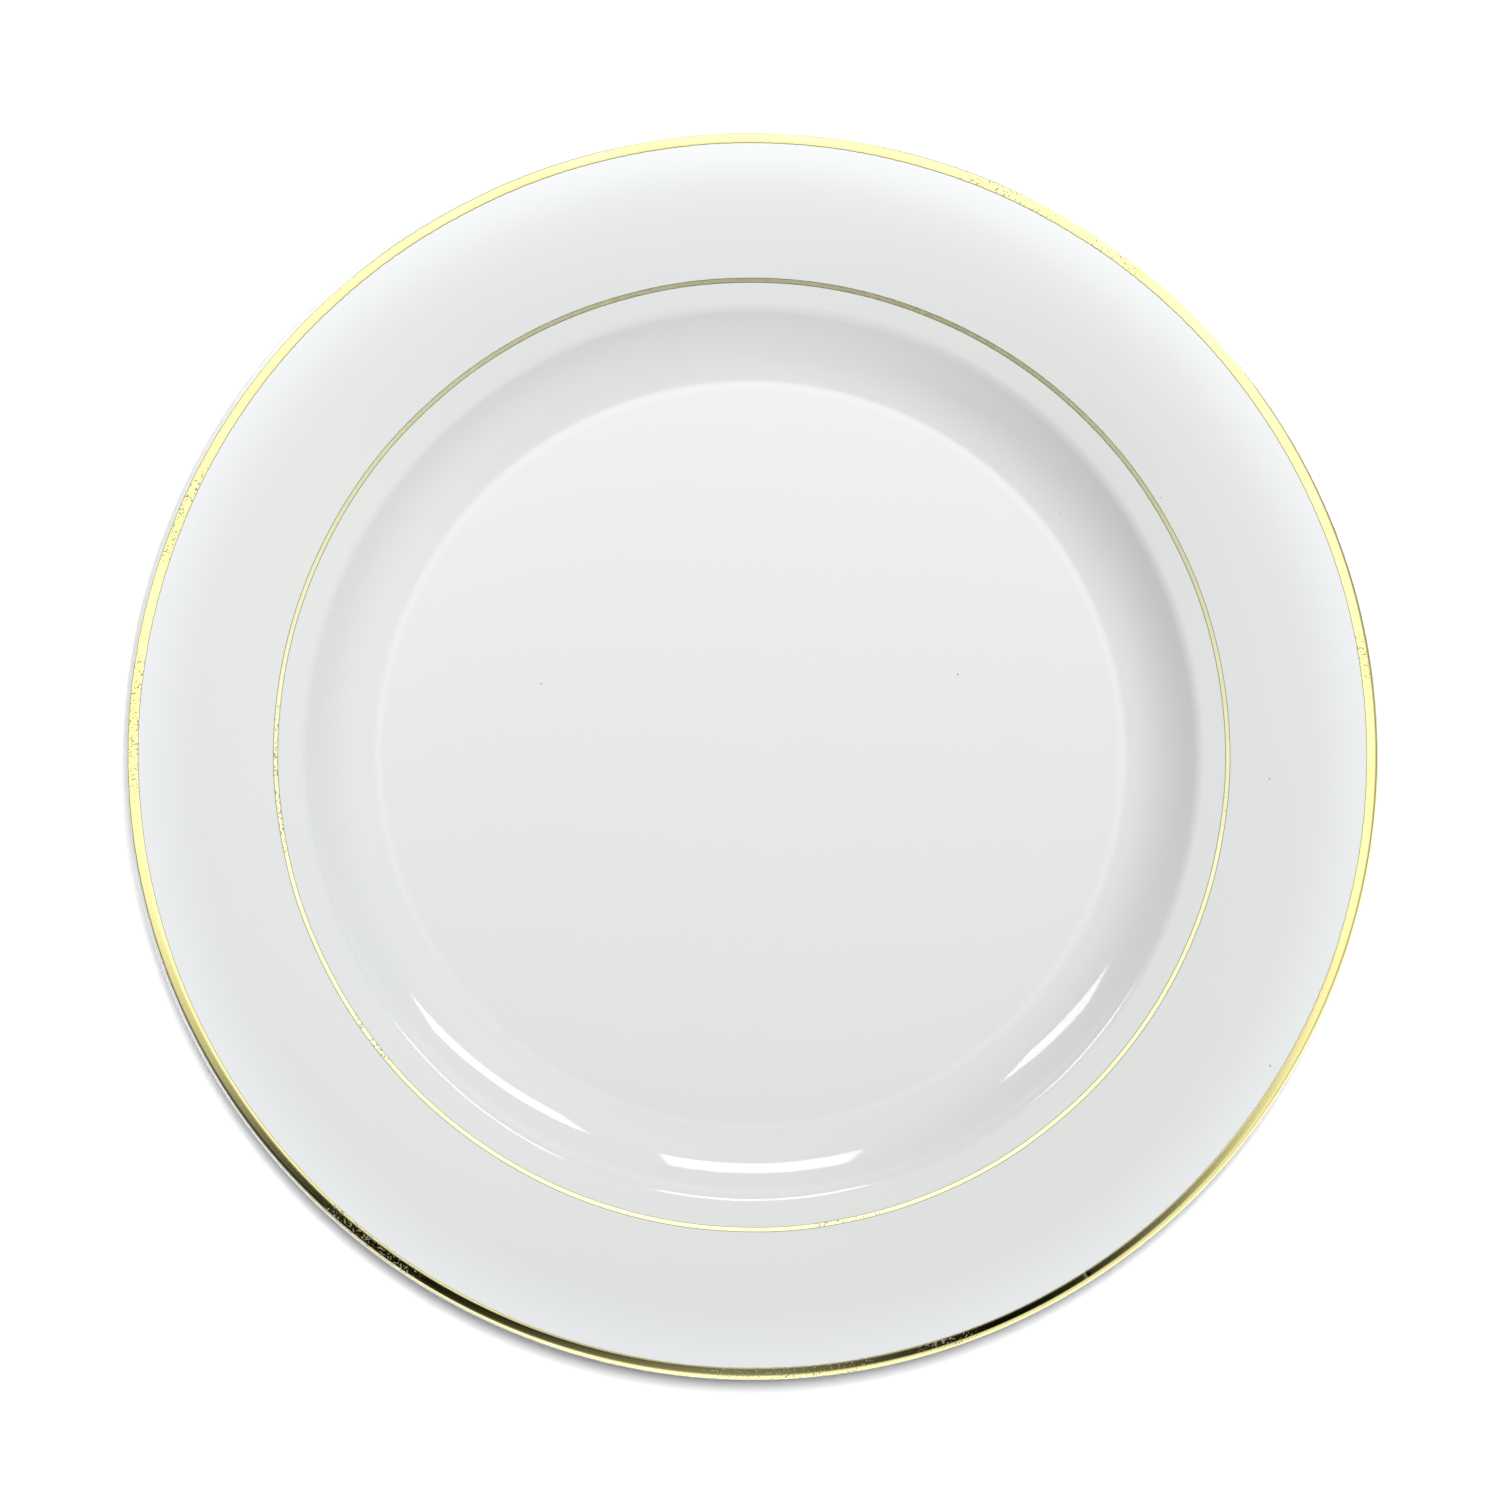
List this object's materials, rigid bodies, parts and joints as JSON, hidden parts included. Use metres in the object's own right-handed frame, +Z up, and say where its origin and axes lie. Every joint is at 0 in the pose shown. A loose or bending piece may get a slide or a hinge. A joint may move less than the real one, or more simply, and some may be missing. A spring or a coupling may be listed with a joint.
{
  "type": "dinner plate",
  "caption": "Round white glazed china dinner plate with a deep well, a broad flat rim, a gold edge band, a gold inner line and a bare foot ring.",
  "frame": {"origin": "on the plate's axis, in the plane of the foot ring's standing face", "axes": "+Z up along the plate's axis, from the foot ring towards the food side; X and Y are any two level directions at right angles"},
  "size_m": [0.267, 0.267, 0.021],
  "materials": {
    "bare_porcelain": "matte",
    "white_glaze": "gloss",
    "bright_gold": "gloss"
  },
  "bodies": {
    "root": {"porcelain_body": "bare_porcelain", "glaze_coat": "white_glaze", "glaze_base": "white_glaze", "gold_edge_band": "bright_gold", "gold_inner_line": "bright_gold"}
  },
  "joints": []
}
